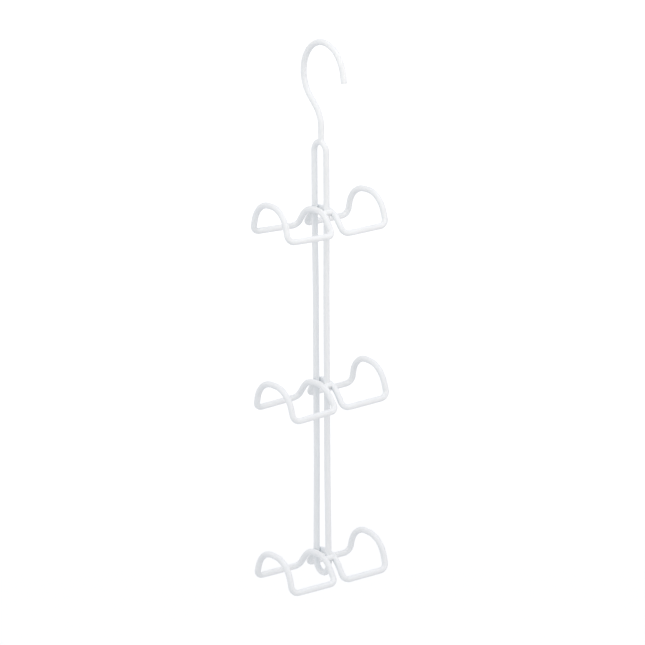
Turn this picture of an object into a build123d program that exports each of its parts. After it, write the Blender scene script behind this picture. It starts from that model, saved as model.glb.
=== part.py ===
"""Hanging rack for bags: a hook, a long wire spine and three tiers of paired wire saddles.

Millimetres, +Z up. The origin is the point inside the hook's crown that sits on the rod.
The rod runs along X, the hook opens to the front (-Y), and the saddles reach out to -X and +X.
"""

from build123d import *
import os

# The wire, measured over its coating, and how deep two welded wires set into each other
wire_diameter = 6.4
weld_set = 0.85

# The hook: a straight tip, a ring that runs on behind the rod, a slanted neck and an upright stem.
# The ring starts tip_angle above the front and ends overrun_angle past the rear, in degrees
tip_length = 10.0
tip_rounding = 0.5
tip_angle = 11.3
ring_radius = 32.5
overrun_angle = 47.0
slant_length = 12.4
neck_radius = 28.6
stem_length = 13.5

# How the stem meets the spine: its cut end stops above the crown's centre line, ahead of the middle
stem_end_gap = 1.0
stem_ahead_of_spine = 1.7

# The spine: a closed loop, a little narrower at its waist than at its ends
crown_width = 19.7
waist_width = 17.8
foot_width = 20.3
waist_length = 176.0
leg_easing = 600.0

# Heights along the spine, from the crown's centre line down to the foot's
crown_to_top_tier = 68.3
top_to_middle_tier = 178.1
middle_to_bottom_tier = 180.8
bottom_tier_to_foot = 20.7

# Small angles in degrees that the hand-welded pairs stand at: lean lifts the right end,
# splay turns both ends to the rear, nod dips the front bar, and lift raises both outer ends
top_angles = (0.1, 1.4, -0.9, 1.0)
middle_angles = (2.7, -1.9, 0.4, 0.3)
bottom_angles = (0.7, 0.1, 1.5, 0.2)

# The inner arches are bent by hand too, each pair a little taller than the one above it
top_arch_height = 20.8
middle_arch_height = 21.4
bottom_arch_height = 22.2

# One saddle: an inner arch at the spine, two bars and a taller outer arch
saddle_behind_spine = 1.7
bar_length = 53.4
saddle_width = 61.9
inner_crown_width = 28.8
inner_crown_radius = 23.0
inner_foot_radius = 6.4
outer_arch_height = 31.3
outer_crown_width = 43.6
outer_crown_radius = 25.3
outer_foot_radius = 7.4

wire_radius = wire_diameter / 2
half_turn = 180
facing_left = (-1, 0, 0)
frontward = (0, -1, 0)

os.makedirs("parts", exist_ok=True)

# Centre line of the hook, drawn in its own plane with the front to the right
with BuildLine(Plane(origin=(0, 0, 0), x_dir=frontward, z_dir=facing_left)) as hook_path:
    ring_centre = (0, wire_radius - ring_radius)
    ring = CenterArc(ring_centre, ring_radius, tip_angle, half_turn + overrun_angle - tip_angle)
    tip = PolarLine(ring @ 0, tip_length, direction=(ring % 0) * -1)
    slant = PolarLine(ring @ 1, slant_length, direction=ring % 1)
    neck = JernArc(slant @ 1, slant % 1, neck_radius, -overrun_angle)
    stem = PolarLine(neck @ 1, stem_length, direction=neck % 1)
stem_end = stem @ 1

# Places on the spine that follow from the stem's end
spine_y = stem_end.Y + stem_ahead_of_spine
crown_z = stem_end.Z - stem_end_gap
top_tier_z = crown_z - crown_to_top_tier
middle_tier_z = top_tier_z - top_to_middle_tier
bottom_tier_z = middle_tier_z - middle_to_bottom_tier
foot_z = bottom_tier_z - bottom_tier_to_foot

# Spine: the front half of the loop is swept from crown to foot and mirrored to the rear
spine_origin = (0, spine_y, 0)
crown_half = crown_width / 2
waist_half = waist_width / 2
foot_half = foot_width / 2
with BuildPart() as spine:
    with BuildLine(Plane(origin=spine_origin, x_dir=frontward, z_dir=facing_left)) as spine_path:
        crown = JernArc((0, crown_z), (1, 0), crown_half, -90)
        leg = FilletPolyline(
            (crown_half, crown_z - crown_half),
            (crown_half, top_tier_z),
            (waist_half, middle_tier_z + waist_length / 2),
            (waist_half, middle_tier_z - waist_length / 2),
            (foot_half, bottom_tier_z),
            (foot_half, foot_z + foot_half),
            radius=leg_easing,
        )
        foot = JernArc((foot_half, foot_z + foot_half), (0, -1), foot_half, -90)
    with BuildSketch(Plane(origin=crown @ 0, z_dir=crown % 0)):
        Circle(wire_radius)
    sweep(path=spine_path.line)
    mirror(about=Plane(origin=spine_origin, z_dir=frontward))
spine.part.label = "spine"
export_step(spine.part, "parts/spine.step")

# Hook: the wire's cut end is coped to the spine's crown, where it is welded
with BuildPart() as hook:
    with BuildSketch(Plane(origin=stem_end, z_dir=stem % 1)):
        Circle(wire_radius)
    sweep(path=hook_path.line)
    tip_edge = hook.edges().filter_by(GeomType.CIRCLE).sort_by_distance(tip @ 1)[0]
    fillet(tip_edge, radius=tip_rounding)
    add(spine.part, mode=Mode.SUBTRACT)
hook.part.label = "hook"
export_step(hook.part, "parts/hook.step")

# Saddles: half a loop is swept from the inner crown to the outer crown and mirrored
inner_x = wire_diameter - weld_set
outer_x = inner_x + bar_length
side_y = saddle_width / 2
tiers = (
    ("top", top_tier_z, top_arch_height, top_angles),
    ("middle", middle_tier_z, middle_arch_height, middle_angles),
    ("bottom", bottom_tier_z, bottom_arch_height, bottom_angles),
)
for tier_name, tier_z, arch_height, (lean, splay, nod, lift) in tiers:
    outer_crown_z = outer_arch_height - arch_height
    for side_name, side in (("left", -1), ("right", 1)):
        weld_centre = (0, spine_y + saddle_behind_spine, tier_z)
        bench = Plane(origin=weld_centre, x_dir=(side, 0, 0), z_dir=(0, 0, 1))
        bench = bench.rotated((nod, -lean - side * lift, side * splay))
        with BuildPart() as saddle:
            with BuildLine(bench) as half_loop:
                bends = FilletPolyline(
                    (inner_x, 0, 0),
                    (inner_x, inner_crown_width / 2, 0),
                    (inner_x, side_y, -arch_height),
                    (outer_x, side_y, -arch_height),
                    (outer_x, outer_crown_width / 2, outer_crown_z),
                    (outer_x, 0, outer_crown_z),
                    radius=(inner_crown_radius, inner_foot_radius, outer_foot_radius, outer_crown_radius),
                )
            with BuildSketch(Plane(origin=bends @ 0, z_dir=bends % 0)):
                Circle(wire_radius)
            sweep(path=half_loop.line)
            mirror(about=Plane(origin=weld_centre, x_dir=bench.x_dir, z_dir=bench.y_dir))
            add(spine.part, mode=Mode.SUBTRACT)
        saddle.part.label = f"saddle_{side_name}_{tier_name}"
        export_step(saddle.part, f"parts/{saddle.part.label}.step")
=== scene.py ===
"""White wire hanging rack for bags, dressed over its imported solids.

The rack is eight bent steel wires that are welded together and powder coated in one go. The
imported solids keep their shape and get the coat. This script adds the fillets and beads that weld
and coat leave where wires meet, and then the floor, the light and the camera. Sizes of the rack
are in millimetres, as in its drawing, and turn to metres where a mesh is made. The room's own
sizes are in metres.
"""

from __future__ import annotations

import logging
import math
from dataclasses import dataclass
from enum import Enum

import bmesh
import bpy
from mathutils import Euler, Matrix, Vector


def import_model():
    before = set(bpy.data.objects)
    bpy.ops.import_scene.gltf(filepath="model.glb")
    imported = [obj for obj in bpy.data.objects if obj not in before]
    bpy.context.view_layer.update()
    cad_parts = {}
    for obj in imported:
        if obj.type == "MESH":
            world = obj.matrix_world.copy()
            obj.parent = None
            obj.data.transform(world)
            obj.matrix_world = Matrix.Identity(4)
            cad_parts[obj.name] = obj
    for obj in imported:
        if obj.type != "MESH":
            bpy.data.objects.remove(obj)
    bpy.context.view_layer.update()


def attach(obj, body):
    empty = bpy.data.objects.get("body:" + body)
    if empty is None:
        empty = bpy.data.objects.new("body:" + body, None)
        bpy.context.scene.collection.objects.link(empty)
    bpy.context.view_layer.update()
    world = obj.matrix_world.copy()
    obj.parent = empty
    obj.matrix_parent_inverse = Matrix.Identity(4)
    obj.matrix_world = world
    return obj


LOG = logging.getLogger("bag_rack")
MM = 0.001
ROOT = "root"


def linear_colour(hex_text: str) -> tuple[float, float, float, float]:
    """Turns an sRGB hex colour to the linear colour that Blender's sockets take.

    Args:
        hex_text: Colour as "#RRGGBB".

    Returns:
        Linear red, green, blue and a full alpha.
    """
    parts = [int(hex_text[i : i + 2], 16) / 255 for i in (1, 3, 5)]
    red, green, blue = (p / 12.92 if p <= 0.04045 else ((p + 0.055) / 1.055) ** 2.4 for p in parts)
    return red, green, blue, 1.0


def add_node(
    tree: bpy.types.NodeTree,
    kind: str,
    settings: dict[str, object] | None = None,
    inputs: dict[str | int, object] | None = None,
) -> bpy.types.Node:
    """Adds one node with its settings and its links.

    Args:
        tree: Node tree that gets the node.
        kind: Blender's type name of the node.
        settings: The node's own properties by name.
        inputs: Values by socket name or index; an output socket among them is linked.

    Returns:
        The new node.
    """
    node = tree.nodes.new(kind)
    for name, value in (settings or {}).items():
        setattr(node, name, value)
    for key, value in (inputs or {}).items():
        if isinstance(value, bpy.types.NodeSocket):
            tree.links.new(value, node.inputs[key])
        else:
            node.inputs[key].default_value = value
    return node


def blank_material(name: str) -> bpy.types.Material:
    """Makes a node material with an empty tree.

    Args:
        name: Name of the material.

    Returns:
        The material, ready for its nodes.
    """
    material = bpy.data.materials.new(name)
    material.use_nodes = True
    material.node_tree.nodes.clear()
    return material


def direction(azimuth: float, elevation: float) -> Vector:
    """Gives the direction from the rack to a place round it.

    Args:
        azimuth: Degrees from the front, positive to the right.
        elevation: Degrees above level.

    Returns:
        Unit vector towards that place.
    """
    around, above = math.radians(azimuth), math.radians(elevation)
    return Vector(
        (
            math.sin(around) * math.cos(above),
            -math.cos(around) * math.cos(above),
            math.sin(above),
        )
    )


def hollow_curve(
    start: tuple[float, float], corner: tuple[float, float], end: tuple[float, float], steps: int
) -> list[tuple[float, float]]:
    """Draws the hollow face of a fillet, as a curve that is pulled towards the corner it fills.

    Args:
        start: First point.
        corner: Point where the two skins would meet.
        end: Last point.
        steps: Number of stretches.

    Returns:
        Points from start to end.
    """
    curve = []
    for i in range(steps + 1):
        t = i / steps
        curve.append(
            tuple((1 - t) ** 2 * a + 2 * t * (1 - t) * b + t * t * c for a, b, c in zip(start, corner, end))
        )
    return curve


def mesh_object(
    name: str, points: list[Vector], faces: list[tuple[int, ...]], material: bpy.types.Material
) -> bpy.types.Object:
    """Makes a smooth, closed mesh object from points in the rack's frame.

    Args:
        name: Name of the object.
        points: Vertices in millimetres.
        faces: Vertex numbers of each face.
        material: Finish of the whole mesh.

    Returns:
        The object, linked to the scene.
    """
    mesh = bpy.data.meshes.new(name)
    mesh.from_pydata([p * MM for p in points], [], faces)
    shell = bmesh.new()
    shell.from_mesh(mesh)
    bmesh.ops.recalc_face_normals(shell, faces=shell.faces)
    shell.to_mesh(mesh)
    shell.free()
    mesh.polygons.foreach_set("use_smooth", [True] * len(mesh.polygons))
    mesh.materials.append(material)
    made = bpy.data.objects.new(name, mesh)
    bpy.context.scene.collection.objects.link(made)
    return made


def ring_faces(rings: int, around: int) -> list[tuple[int, ...]]:
    """Gives the faces of a closed skin over rings of points, with a middle point at each end.

    Args:
        rings: Number of rings.
        around: Points in each ring.

    Returns:
        Quads between rings, and the fans that close both ends. The two middle points follow the
        rings' points in the vertex list.
    """
    faces: list[tuple[int, ...]] = []
    for ring in range(rings - 1):
        for i in range(around):
            j = (i + 1) % around
            here, there = ring * around, (ring + 1) * around
            faces.append((here + i, here + j, there + j, there + i))
    first, last = rings * around, rings * around + 1
    for i in range(around):
        j = (i + 1) % around
        faces.append((j, i, first))
        faces.append(((rings - 1) * around + i, (rings - 1) * around + j, last))
    return faces


class Side(Enum):
    """Side of the spine that a saddle reaches out to."""

    LEFT = -1
    RIGHT = 1

    @property
    def label(self) -> str:
        """Side as it stands in node names."""
        return self.name.lower()


@dataclass(frozen=True)
class PowderCoat:
    """Polyester powder coat on drawn steel wire, sprayed on dry and baked in one thick layer.

    To the eye it is an even, slightly cool white with a soft satin sheen, and up close it has
    the low waves of orange peel, which the melting powder leaves.
    """

    name: str = "powder_coated_steel"
    thick_colour: str = "#F4F6F7"
    thin_colour: str = "#EFF1F2"
    ior: float = 1.5
    roughness_low: float = 0.48
    roughness_high: float = 0.56
    # Orange peel on such a coat waves every 1.5 to 3 mm and is about 0.01 mm deep; drawn at twice
    # that depth so that it shows
    peel_mm: float = 2.2
    peel_depth_mm: float = 0.02
    # The grain of the powder itself is under 0.1 mm; drawn at 0.5 mm so that close views show it
    grain_mm: float = 0.5
    grain_depth_mm: float = 0.002
    # The coat's thickness drifts over a few centimetres of wire, between these values of the noise
    drift_mm: float = 22.0
    drift_from: float = 0.3
    drift_full: float = 0.7
    # Painted shade: the coat's colour is greyed in the tight corners between wires, where little light
    # reaches
    corner_colour: str = "#BBC2C8"
    corner_mm: float = 6.0
    # How open a place is where the painted shade starts and where it is full
    corner_from: float = 0.62
    corner_full: float = 0.15
    corner_rays: int = 8

    def build(self) -> bpy.types.Material:
        """Makes the coat's material."""
        material = blank_material(self.name)
        tree = material.node_tree
        place = add_node(tree, "ShaderNodeTexCoord").outputs["Object"]
        drift = add_node(
            tree,
            "ShaderNodeTexNoise",
            inputs={"Vector": place, "Scale": 1 / (self.drift_mm * MM), "Detail": 3.0, "Roughness": 0.5},
        )
        tint = add_node(
            tree,
            "ShaderNodeMix",
            settings={"data_type": "RGBA"},
            inputs={
                "Factor": drift.outputs["Fac"],
                6: linear_colour(self.thin_colour),
                7: linear_colour(self.thick_colour),
            },
        )
        # Painted shade: ambient occlusion finds the tight corners between wires, so that the colour can be
        # greyed there
        openness = add_node(
            tree,
            "ShaderNodeAmbientOcclusion",
            settings={"samples": self.corner_rays},
            inputs={"Distance": self.corner_mm * MM},
        )
        corner = add_node(
            tree,
            "ShaderNodeMapRange",
            inputs={
                "Value": openness.outputs["AO"],
                "From Min": self.corner_from,
                "From Max": self.corner_full,
            },
        )
        # Painted shade: the coat's colour turns grey in those corners
        colour = add_node(
            tree,
            "ShaderNodeMix",
            settings={"data_type": "RGBA"},
            inputs={
                "Factor": corner.outputs["Result"],
                6: tint.outputs[2],
                7: linear_colour(self.corner_colour),
            },
        )
        sheen = add_node(
            tree,
            "ShaderNodeMapRange",
            inputs={
                "Value": drift.outputs["Fac"],
                "From Min": self.drift_from,
                "From Max": self.drift_full,
                "To Min": self.roughness_high,
                "To Max": self.roughness_low,
            },
        )
        peel = add_node(
            tree,
            "ShaderNodeTexNoise",
            inputs={"Vector": place, "Scale": 1 / (self.peel_mm * MM), "Detail": 1.0, "Roughness": 0.4},
        )
        grain = add_node(
            tree,
            "ShaderNodeTexNoise",
            inputs={"Vector": place, "Scale": 1 / (self.grain_mm * MM), "Detail": 1.0},
        )
        fine = add_node(
            tree,
            "ShaderNodeBump",
            inputs={"Height": grain.outputs["Fac"], "Distance": self.grain_depth_mm * MM},
        )
        waves = add_node(
            tree,
            "ShaderNodeBump",
            inputs={
                "Height": peel.outputs["Fac"],
                "Distance": self.peel_depth_mm * MM,
                "Normal": fine.outputs["Normal"],
            },
        )
        coat = add_node(
            tree,
            "ShaderNodeBsdfPrincipled",
            inputs={
                "Base Color": colour.outputs[2],
                "Roughness": sheen.outputs["Result"],
                "IOR": self.ior,
                "Normal": waves.outputs["Normal"],
            },
        )
        add_node(tree, "ShaderNodeOutputMaterial", inputs={"Surface": coat.outputs["BSDF"]})
        return material


@dataclass(frozen=True)
class StudioPaper:
    """Matt white studio paper, unrolled as the floor.

    To the eye it is a plain white ground that takes a soft shadow.
    """

    name: str = "studio_paper"
    colour: str = "#F2F2F2"
    roughness: float = 0.9
    # How much the paper is lifted to white where it shows, nearer than one distance and beyond
    # another, in metres along the floor
    lift_near: float = 0.3
    lift_far: float = 0.5
    near: float = 3.8
    far: float = 6.7

    def build(self) -> bpy.types.Material:
        """Makes the paper's material: matt, and lifted to white where it is seen directly."""
        material = blank_material(self.name)
        tree = material.node_tree
        paper = add_node(
            tree,
            "ShaderNodeBsdfPrincipled",
            inputs={
                "Base Color": linear_colour(self.colour),
                "Roughness": self.roughness,
                "Specular IOR Level": 0.0,
            },
        )
        seen = seen_directly(tree)
        place = add_node(tree, "ShaderNodeTexCoord").outputs["Object"]
        level = add_node(
            tree,
            "ShaderNodeVectorMath",
            settings={"operation": "MULTIPLY"},
            inputs={0: place, 1: (1.0, 1.0, 0.0)},
        )
        reach = add_node(
            tree,
            "ShaderNodeVectorMath",
            settings={"operation": "LENGTH"},
            inputs={0: level.outputs["Vector"]},
        )
        lift = add_node(
            tree,
            "ShaderNodeMapRange",
            inputs={
                "Value": reach.outputs["Value"],
                "From Min": self.near,
                "From Max": self.far,
                "To Min": self.lift_near,
                "To Max": self.lift_far,
            },
        )
        glow = add_node(tree, "ShaderNodeEmission", inputs={"Strength": lift.outputs["Result"]})
        none = add_node(tree, "ShaderNodeEmission", inputs={"Strength": 0.0})
        lifted = add_node(
            tree,
            "ShaderNodeMixShader",
            inputs={0: seen, 1: none.outputs["Emission"], 2: glow.outputs["Emission"]},
        )
        both = add_node(
            tree,
            "ShaderNodeAddShader",
            inputs={0: paper.outputs["BSDF"], 1: lifted.outputs["Shader"]},
        )
        add_node(tree, "ShaderNodeOutputMaterial", inputs={"Surface": both.outputs["Shader"]})
        return material


def seen_directly(tree: bpy.types.NodeTree) -> bpy.types.NodeSocket:
    """Adds the test for rays that show the ground itself, in the camera or in gloss and glass.

    Args:
        tree: Node tree that gets the nodes.

    Returns:
        Socket that is 1 for such rays and 0 for the rest.
    """
    path = add_node(tree, "ShaderNodeLightPath")
    sharp = add_node(
        tree,
        "ShaderNodeMath",
        settings={"operation": "MAXIMUM"},
        inputs={0: path.outputs["Is Camera Ray"], 1: path.outputs["Is Glossy Ray"]},
    )
    every = add_node(
        tree,
        "ShaderNodeMath",
        settings={"operation": "MAXIMUM"},
        inputs={0: sharp.outputs[0], 1: path.outputs["Is Transmission Ray"]},
    )
    return every.outputs[0]


@dataclass(frozen=True)
class Wire:
    """The drawn wire that every piece is bent from, and how far each weld pulls two together."""

    diameter: float = 6.4
    weld_set: float = 0.85

    @property
    def radius(self) -> float:
        """Half the diameter over the coat."""
        return self.diameter / 2


@dataclass(frozen=True)
class Spine:
    """The long closed loop of wire: one leg in front of the other, joined by a round arc at each end."""

    wire: Wire
    centre_y: float = 5.7
    crown_z: float = -96.94
    crown_half: float = 9.85

    def dress(self, coat: bpy.types.Material) -> None:
        """Coats the spine's solid.

        Args:
            coat: The rack's finish.
        """
        coat_node("spine", coat)

    def crown_height(self, x: float, y: float) -> float:
        """Gives how high the top of the crown's wire is over a point.

        Args:
            x: Distance to the right of the spine's plane.
            y: Distance to the rear of the rod.

        Returns:
            Height of the wire's upper skin.
        """
        outer = self.crown_half + math.sqrt(max(self.wire.radius**2 - x * x, 0.0))
        return self.crown_z - self.crown_half + math.sqrt(outer**2 - (y - self.centre_y) ** 2)


def coat_node(name: str, coat: bpy.types.Material) -> None:
    """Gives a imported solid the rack's finish.

    Args:
        name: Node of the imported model.
        coat: The finish.
    """
    node = bpy.data.objects[name]
    if not node.material_slots:
        node.data.materials.append(coat)
    for slot in node.material_slots:
        slot.material = coat


@dataclass(frozen=True)
class Hook:
    """The question-mark hook, whose cut end is butt-welded on the spine's crown."""

    wire: Wire
    spine: Spine
    stem_y: float = 4.0
    fillet: float = 0.9
    # The two wires are equally thick, so the corner closes towards the sides, and so does the fillet
    side_share: float = 0.62
    # How far round the stem each fillet runs, in degrees to either side
    widest_turn: float = 78.0
    # How far its edges are let into the wires, and its back
    sunk: float = 0.03
    inset: float = 0.7
    steps_round: int = 33
    steps_across: int = 8
    # Distance over which a skin's slope is taken, and the least sine that a turn is counted with
    slope_step: float = 0.01
    least_sine: float = 0.05

    def dress(self, coat: bpy.types.Material) -> None:
        """Coats the hook's solid.

        Args:
            coat: The rack's finish.
        """
        coat_node("hook", coat)

    def section(self, turn: float, facing: int) -> list[Vector]:
        """Gives one cut through the fillet, as a closed outline of points.

        Args:
            turn: Angle from straight ahead or straight behind, in radians.
            facing: -1 for the fillet ahead of the stem, 1 for the one behind it.

        Returns:
            Points from the stem's skin, over the hollow face and down to the crown's skin, and
            then back inside the two wires.
        """
        radius = self.wire.radius
        open_room = radius * (1 / max(abs(math.sin(turn)), self.least_sine) - 1)
        size = min(self.fillet, self.side_share * open_room)

        def place(reach: float, z: float) -> Vector:
            """Point at a reach from the stem's axis and at a height."""
            return Vector((reach * math.sin(turn), self.stem_y + facing * reach * math.cos(turn), z))

        def skin(reach: float) -> float:
            """Height of the crown's skin at a reach from the stem's axis."""
            flat = place(reach, 0.0)
            return self.spine.crown_height(flat.x, flat.y)

        slope = (skin(radius + size) - skin(radius + size - self.slope_step)) / self.slope_step
        start = (radius - self.sunk, skin(radius) + size)
        end = (radius + size, skin(radius + size) - self.sunk)
        corner = (radius, end[1] + self.sunk - slope * size)
        outline = [place(reach, z) for reach, z in hollow_curve(start, corner, end, self.steps_across)]
        outline.append(place(radius, skin(radius) - self.inset))
        outline.append(place(radius - self.inset, skin(radius) - self.inset))
        outline.append(place(radius - self.inset, start[1]))
        return outline

    def weld(self, facing: int, coat: bpy.types.Material) -> bpy.types.Object:
        """Builds the fillet on one side of the butt weld.

        Args:
            facing: -1 for the fillet ahead of the stem, 1 for the one behind it.
            coat: The rack's finish.

        Returns:
            The fillet, riding with the rack.
        """
        widest = math.radians(self.widest_turn)
        sections = []
        for i in range(self.steps_round):
            turn = -widest + 2 * widest * i / (self.steps_round - 1)
            sections.append(self.section(turn, facing))
        points = [p for section in sections for p in section]
        for section in (sections[0], sections[-1]):
            points.append(sum(section, Vector()) / len(section))
        name = "weld_hook_front" if facing < 0 else "weld_hook_rear"
        made = mesh_object(name, points, ring_faces(len(sections), len(sections[0])), coat)
        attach(made, ROOT)
        return made


@dataclass(frozen=True)
class Tier:
    """One level of the rack: where it is welded, and the small angles that its pair stands at.

    Lean lifts the right end, splay turns both ends to the rear, nod dips the front bar, and lift
    raises both outer ends. All four are in degrees.
    """

    label: str
    height: float
    leg_half: float
    arch_height: float
    lean: float
    splay: float
    nod: float
    lift: float


@dataclass(frozen=True)
class Crossing:
    """A leg of the spine and an inner arch that is welded across it."""

    wire: Wire
    leg: Vector
    arch_centre: Vector
    arch_radius: float
    along: Vector
    up: Vector
    outward: int
    # The fillet runs out where the two skins have parted by this much
    mouth: float = 0.35
    # How far its edges are let into the wires, and its back, which lies at a share of its reach
    sunk: float = 0.03
    inset: float = 0.6
    back_share: float = 0.6
    steps_round: int = 56
    steps_across: int = 8
    # Distance over which a skin's slope is taken, and how often each search is refined
    slope_step: float = 0.01
    frame_rounds: int = 4
    rim_rounds: int = 24

    def frame(self) -> tuple[Matrix, float, Vector]:
        """Finds the line across both wires where they come closest.

        Returns:
            A matrix with columns for level, upright and outward, whose origin is on the leg's
            axis; the distance between the axes; and the arch's centre in level and upright.
        """
        upright = Vector((0, 0, 1))
        turn = math.asin(((self.leg - self.arch_centre) @ self.along) / self.arch_radius)
        for _ in range(self.frame_rounds):
            spoke = math.sin(turn) * self.along + math.cos(turn) * self.up
            point = self.arch_centre + self.arch_radius * spoke
            tangent = math.cos(turn) * self.along - math.sin(turn) * self.up
            out = upright.cross(tangent).normalized()
            if out.x * self.outward < 0:
                out = -out
            level = out.cross(upright).normalized()
            turn -= ((point - self.leg) @ level) / (self.arch_radius * (tangent @ level))
        origin = Vector((self.leg.x, self.leg.y, point.z))
        axes = Matrix((level, upright, out)).transposed().to_4x4()
        axes.translation = origin
        offset = self.arch_centre - origin
        return axes, (point - origin) @ out, Vector((offset @ level, offset @ upright))

    def profile(self, angle: float, apart: float, centre: Vector) -> list[tuple[float, float]]:
        """Gives the fillet's hollow face in one direction round the contact.

        Args:
            angle: Direction from the contact, in radians from level.
            apart: Distance between the two axes.
            centre: Centre of the arch in level and upright.

        Returns:
            Reach and outward distance of each point, from inside the leg to inside the arch.
        """
        radius = self.wire.radius
        heading = Vector((math.cos(angle), math.sin(angle)))

        def leg_skin(reach: float) -> float:
            """Outward distance of the leg's skin at a reach from the contact."""
            return math.sqrt(max(radius**2 - (reach * heading.x) ** 2, 0.0))

        def arch_skin(reach: float) -> float:
            """Outward distance of the arch's skin at a reach from the contact."""
            off = (heading * reach - centre).length - self.arch_radius
            return apart - math.sqrt(max(radius**2 - off**2, 0.0))

        low, high = 0.0, radius
        for _ in range(self.rim_rounds):
            middle = (low + high) / 2
            if arch_skin(middle) - leg_skin(middle) < self.mouth:
                low = middle
            else:
                high = middle
        rim, step = low, self.slope_step
        leg_slope = (leg_skin(rim) - leg_skin(rim - step)) / step
        arch_slope = (arch_skin(rim) - arch_skin(rim - step)) / step
        depth = (arch_skin(rim) - leg_skin(rim)) / (arch_slope - leg_slope)
        corner = (rim - depth, leg_skin(rim) - leg_slope * depth)
        start = (rim, leg_skin(rim) - self.sunk)
        end = (rim, arch_skin(rim) + self.sunk)
        back = self.back_share * rim
        return [
            (back, leg_skin(back) - self.inset),
            *hollow_curve(start, corner, end, self.steps_across),
            (back, arch_skin(back) + self.inset),
        ]

    def build(self, name: str, coat: bpy.types.Material) -> bpy.types.Object:
        """Builds the fillet as a closed mesh.

        Args:
            name: Name of the piece.
            coat: The rack's finish.

        Returns:
            The fillet's object.
        """
        axes, apart, centre = self.frame()
        profiles = []
        for i in range(self.steps_round):
            angle = math.tau * i / self.steps_round
            profiles.append([(angle, reach, out) for reach, out in self.profile(angle, apart, centre)])
        points = []
        for ring in zip(*profiles):
            for angle, reach, out in ring:
                points.append(axes @ Vector((reach * math.cos(angle), reach * math.sin(angle), out)))
        points.append(axes @ Vector((0, 0, self.wire.radius - self.inset)))
        points.append(axes @ Vector((0, 0, apart - self.wire.radius + self.inset)))
        return mesh_object(name, points, ring_faces(len(profiles[0]), self.steps_round), coat)


@dataclass(frozen=True)
class Saddle:
    """One closed loop of wire that holds a bag: an inner arch, two bars and a taller outer arch."""

    wire: Wire
    spine: Spine
    tier: Tier
    side: Side
    behind_spine: float = 1.7
    foot_half: float = 30.95
    crown_half: float = 14.4
    crown_radius: float = 23.0

    @property
    def node(self) -> str:
        """Name of the saddle's solid and of its material slot."""
        return f"saddle_{self.side.label}_{self.tier.label}"

    def dress(self, coat: bpy.types.Material) -> None:
        """Coats the saddle's solid.

        Args:
            coat: The rack's finish.
        """
        coat_node(self.node, coat)

    def crossing(self, facing: int) -> Crossing:
        """Finds where the inner arch crosses a leg of the spine.

        Args:
            facing: -1 for the front leg, 1 for the rear leg.

        Returns:
            The crossing of the two wires.
        """
        sign = self.side.value
        turns = (sign * self.tier.nod, -sign * self.tier.lean - self.tier.lift, sign * self.tier.splay)
        bench = Euler([math.radians(a) for a in turns], "XYZ").to_matrix()
        bench = Matrix(((sign, 0, 0), (0, sign, 0), (0, 0, 1))) @ bench
        centre = Vector((0, self.spine.centre_y + self.behind_spine, self.tier.height))
        slope = math.atan2(self.tier.arch_height, self.foot_half - self.crown_half)
        flat_half = self.crown_half - self.crown_radius * math.tan(slope / 2)
        toward = facing * sign
        arch_x = self.wire.diameter - self.wire.weld_set
        return Crossing(
            wire=self.wire,
            leg=Vector((0, self.spine.centre_y + facing * self.tier.leg_half, self.tier.height)),
            arch_centre=centre + bench @ Vector((arch_x, toward * flat_half, -self.crown_radius)),
            arch_radius=self.crown_radius,
            along=bench @ Vector((0, toward, 0)),
            up=bench @ Vector((0, 0, 1)),
            outward=sign,
        )

    def welds(self, coat: bpy.types.Material) -> list[bpy.types.Object]:
        """Builds the fillets where the inner arch crosses the spine's two legs.

        Args:
            coat: The rack's finish.

        Returns:
            The front and rear fillets, riding with the rack.
        """
        made = []
        for label, facing in (("front", -1), ("rear", 1)):
            weld = self.crossing(facing).build(f"weld_{self.side.label}_{self.tier.label}_{label}", coat)
            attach(weld, ROOT)
            made.append(weld)
        return made


@dataclass(frozen=True)
class Bead:
    """The weld bead run over a tier's two inner arches, across the front of the leg between them."""

    left: Crossing
    right: Crossing
    # Where the bead's middle lies from the leg's axis and above the arches' axes, and how far it
    # has sunk into the arches at its ends
    ahead: float = 1.7
    above: float = 1.3
    sink: float = 1.1
    # Half sizes along the arches and upright, and how far the bead reaches, in halves of the gap
    # between the arches' axes
    half_run: float = 3.2
    half_rise: float = 3.1
    reach: float = 1.1
    taper: float = 0.75
    steps_along: int = 29
    steps_round: int = 40

    def build(self, name: str, coat: bpy.types.Material) -> bpy.types.Object:
        """Builds the bead as a closed mesh whose ends lie inside the arches.

        Args:
            name: Name of the piece.
            coat: The rack's finish.

        Returns:
            The bead, riding with the rack.
        """
        tops = []
        for crossing in (self.left, self.right):
            axes, apart, _ = crossing.frame()
            tops.append(axes @ Vector((0, 0, apart)))
        up = (tops[0] - self.left.arch_centre + tops[1] - self.right.arch_centre).normalized()
        across = (tops[1] - tops[0]) / 2
        forward = across.cross(up).normalized()
        middle = (tops[0] + tops[1]) / 2 + forward * self.ahead
        centres = []
        points = []
        for i in range(self.steps_along):
            s = 2 * i / (self.steps_along - 1) - 1
            size = math.sqrt(1 - self.taper * s**4)
            centres.append(middle + across * (s * self.reach) + up * (self.above - self.sink * s * s))
            for j in range(self.steps_round):
                turn = math.tau * j / self.steps_round
                edge = forward * (self.half_run * math.cos(turn)) + up * (self.half_rise * math.sin(turn))
                points.append(centres[-1] + edge * size)
        points += [centres[0], centres[-1]]
        made = mesh_object(name, points, ring_faces(self.steps_along, self.steps_round), coat)
        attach(made, ROOT)
        return made


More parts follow.
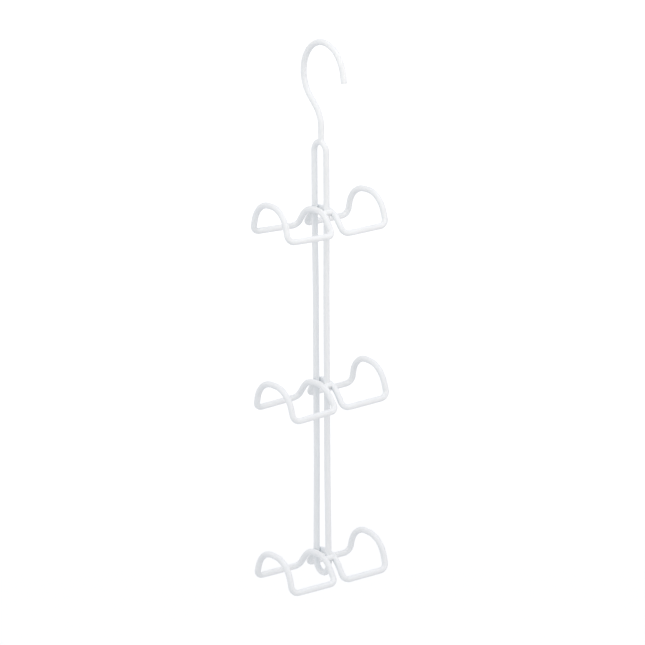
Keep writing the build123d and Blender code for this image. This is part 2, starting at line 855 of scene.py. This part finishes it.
@dataclass(frozen=True)
class Floor:
    """Plain pale floor of the room, as far under the hook as a wardrobe rod is above it."""

    below_rod: float = 1.9
    half_width: float = 60.0

    def build(self, paper: bpy.types.Material) -> bpy.types.Object:
        """Lays the floor.

        Args:
            paper: Finish of the floor.

        Returns:
            The floor.
        """
        mesh = bpy.data.meshes.new("floor")
        corners = [(-1, -1), (1, -1), (1, 1), (-1, 1)]
        points = [(x * self.half_width, y * self.half_width, -self.below_rod) for x, y in corners]
        mesh.from_pydata(points, [], [(0, 1, 2, 3)])
        mesh.materials.append(paper)
        floor = bpy.data.objects.new("floor", mesh)
        bpy.context.scene.collection.objects.link(floor)
        return floor


@dataclass(frozen=True)
class Softbox:
    """A square softbox that looks at the rack.

    Azimuth 0 stands in front of the rack and 90 on its right side. The level is how bright a
    white card at the rack gets from it, where 1 is full white.
    """

    name: str
    azimuth: float
    elevation: float
    distance: float
    size: float
    level: float
    colour: str
    looks_at: float = -0.2

    def build(self) -> bpy.types.Object:
        """Hangs the softbox.

        Returns:
            The lamp's object.
        """
        data = bpy.data.lights.new(self.name, "AREA")
        data.shape = "SQUARE"
        data.size = self.size
        data.energy = self.level * (math.pi * self.distance) ** 2
        data.color = linear_colour(self.colour)[:3]
        lamp = bpy.data.objects.new(self.name, data)
        source = direction(self.azimuth, self.elevation)
        lamp.location = source * self.distance + Vector((0, 0, self.looks_at))
        lamp.rotation_mode = "QUATERNION"
        lamp.rotation_quaternion = source.to_track_quat("Z", "Y")
        lamp.visible_camera = False
        bpy.context.scene.collection.objects.link(lamp)
        return lamp


@dataclass(frozen=True)
class Surround:
    """The white room round the rack: white where it shows, and as light a little cooler from above."""

    cool_side: tuple[float, float, float] = (0.0, 0.0, 1.0)
    cool_colour: str = "#F7F8FF"
    warm_colour: str = "#F7FCF1"
    strength: float = 0.838

    def build(self) -> None:
        """Sets up the world."""
        world = bpy.data.worlds.new("studio_surround")
        world.use_nodes = True
        tree = world.node_tree
        tree.nodes.clear()
        heading = add_node(tree, "ShaderNodeTexCoord").outputs["Generated"]
        toward = add_node(
            tree,
            "ShaderNodeVectorMath",
            settings={"operation": "DOT_PRODUCT"},
            inputs={0: heading, 1: Vector(self.cool_side).normalized()},
        )
        share = add_node(
            tree,
            "ShaderNodeMapRange",
            inputs={"Value": toward.outputs["Value"], "From Min": -1.0, "From Max": 1.0},
        )
        wash = add_node(
            tree,
            "ShaderNodeMix",
            settings={"data_type": "RGBA"},
            inputs={
                "Factor": share.outputs["Result"],
                6: linear_colour(self.warm_colour),
                7: linear_colour(self.cool_colour),
            },
        )
        light = add_node(
            tree,
            "ShaderNodeBackground",
            inputs={"Color": wash.outputs[2], "Strength": self.strength},
        )
        white = add_node(
            tree,
            "ShaderNodeBackground",
            inputs={"Color": (1.0, 1.0, 1.0, 1.0), "Strength": 1.0},
        )
        shown = add_node(
            tree,
            "ShaderNodeMixShader",
            inputs={
                0: seen_directly(tree),
                1: light.outputs["Background"],
                2: white.outputs["Background"],
            },
        )
        add_node(tree, "ShaderNodeOutputWorld", inputs={"Surface": shown.outputs["Shader"]})
        bpy.context.scene.world = world


@dataclass(frozen=True)
class Camera:
    """Long lens at the rack's left front, a little above it."""

    # Aim and distance in millimetres in the rack's frame, angles in degrees
    aim: tuple[float, float, float] = (10.57, 17.95, -285.7)
    distance: float = 3406.5
    azimuth: float = -36.464
    elevation: float = 15.549
    roll: float = -0.323
    lens: float = 189.68
    sensor: float = 36.0
    # Nearest and farthest that it sees, in metres
    clip: tuple[float, float] = (0.05, 200.0)

    def build(self) -> bpy.types.Object:
        """Sets up the camera.

        Returns:
            The scene's camera.
        """
        back = direction(self.azimuth, self.elevation)
        data = bpy.data.cameras.new("camera")
        data.lens = self.lens
        data.sensor_width = self.sensor
        data.clip_start, data.clip_end = self.clip
        camera = bpy.data.objects.new("camera", data)
        bpy.context.scene.collection.objects.link(camera)
        camera.location = (Vector(self.aim) + back * self.distance) * MM
        camera.rotation_mode = "QUATERNION"
        level = (-back).to_track_quat("-Z", "Y")
        tilt = Matrix.Rotation(math.radians(self.roll), 3, back).to_quaternion()
        camera.rotation_quaternion = tilt @ level
        bpy.context.scene.camera = camera
        return camera


def corners(box: tuple[Vector, Vector]) -> list[list[float]]:
    """Turns a box to plain lists of numbers.

    Args:
        box: Lowest and highest corner.

    Returns:
        The same corners as lists.
    """
    return [[float(v) for v in corner] for corner in box]


def main() -> None:
    """Builds the scene: the coat on each solid, the fillets and beads, the room, light and camera."""
    logging.basicConfig(level=logging.INFO, format="%(message)s")
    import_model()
    bpy.context.scene.view_settings.view_transform = "Standard"

    coat = PowderCoat().build()
    wire = Wire()
    spine = Spine(wire)
    spine.dress(coat)
    LOG.info("spine: coated")
    hook = Hook(wire, spine)
    hook.dress(coat)
    for facing in (-1, 1):
        LOG.info("hook: %s", hook.weld(facing, coat).name)
    tiers = (
        Tier("top", -165.24, 9.85, 20.8, lean=0.1, splay=1.4, nod=-0.9, lift=1.0),
        Tier("middle", -343.34, 8.9, 21.4, lean=2.7, splay=-1.9, nod=0.4, lift=0.3),
        Tier("bottom", -524.14, 10.15, 22.2, lean=0.7, splay=0.1, nod=1.5, lift=0.2),
    )
    for tier in tiers:
        pair = [Saddle(wire, spine, tier, side) for side in Side]
        for saddle in pair:
            saddle.dress(coat)
            names = [weld.name for weld in saddle.welds(coat)]
            LOG.info("%s: coated, with %s", saddle.node, " and ".join(names))
        bead = Bead(pair[0].crossing(-1), pair[1].crossing(-1))
        LOG.info("spine: %s", bead.build(f"bead_{tier.label}", coat).name)

    Floor().build(StudioPaper().build())
    Surround().build()
    lamps = (
        Softbox("key", -25.0, 50.0, 0.7, 0.5, 0.19, "#FFF8E4", looks_at=0.0),
        Softbox("upper", -10.0, 20.0, 0.6, 0.9, 0.06, "#FFF3E0", looks_at=0.0),
        Softbox("front", 0.0, 15.0, 1.6, 0.6, 0.088, "#FFE3D4"),
        Softbox("left", -75.0, 20.0, 1.5, 1.0, 0.055, "#CEE4FF"),
        Softbox("rear", -135.0, 20.0, 1.8, 1.0, 0.072, "#FFDFD3"),
        Softbox("right", 60.0, 50.0, 1.5, 0.8, 0.095, "#D9E0FF", looks_at=-0.1),
    )
    for lamp in lamps:
        lamp.build()
        LOG.info("lamp: %s", lamp.name)
    Camera().build()


if __name__ == "__main__":
    main()
